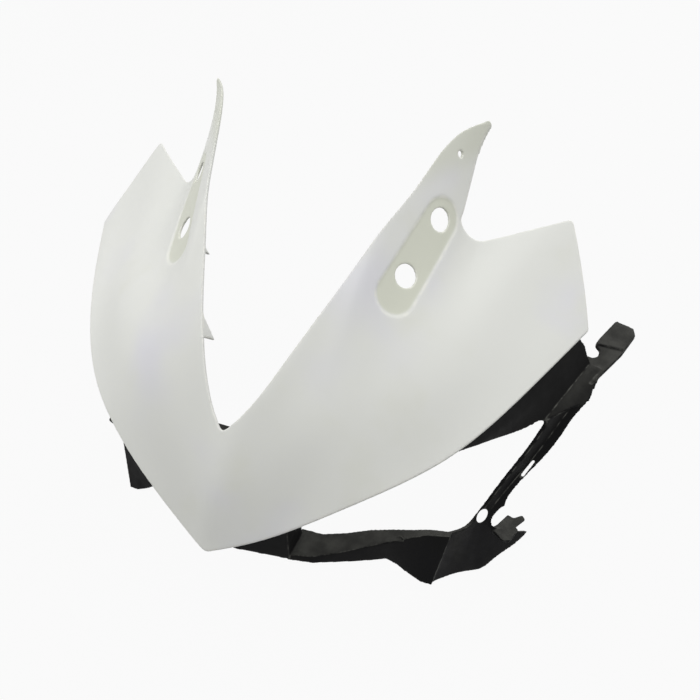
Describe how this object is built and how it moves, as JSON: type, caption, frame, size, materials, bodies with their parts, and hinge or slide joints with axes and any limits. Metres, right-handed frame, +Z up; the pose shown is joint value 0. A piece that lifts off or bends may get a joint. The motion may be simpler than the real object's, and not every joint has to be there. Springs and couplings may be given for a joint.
{
  "type": "motorcycle fairing",
  "caption": "Pointed upper nose cowl for a sport motorcycle: a white moulded shell with a screen gap and mirror bores, screwed to a black headlight surround.",
  "frame": {"origin": "under the middle of the part, on the level of its lowest points", "axes": "+X to the rider's left, +Y to the rear of the motorcycle, +Z up; the nose points along -Y"},
  "size_m": [0.5138, 0.301, 0.3443],
  "materials": {
    "white_shell": "unpainted white, satin",
    "black_surround": "black, low sheen",
    "screw_steel": "plated"
  },
  "bodies": {
    "root": {"nose_cowl": "white_shell", "headlight_surround": "black_surround", "joining_screws": "screw_steel"}
  },
  "joints": []
}
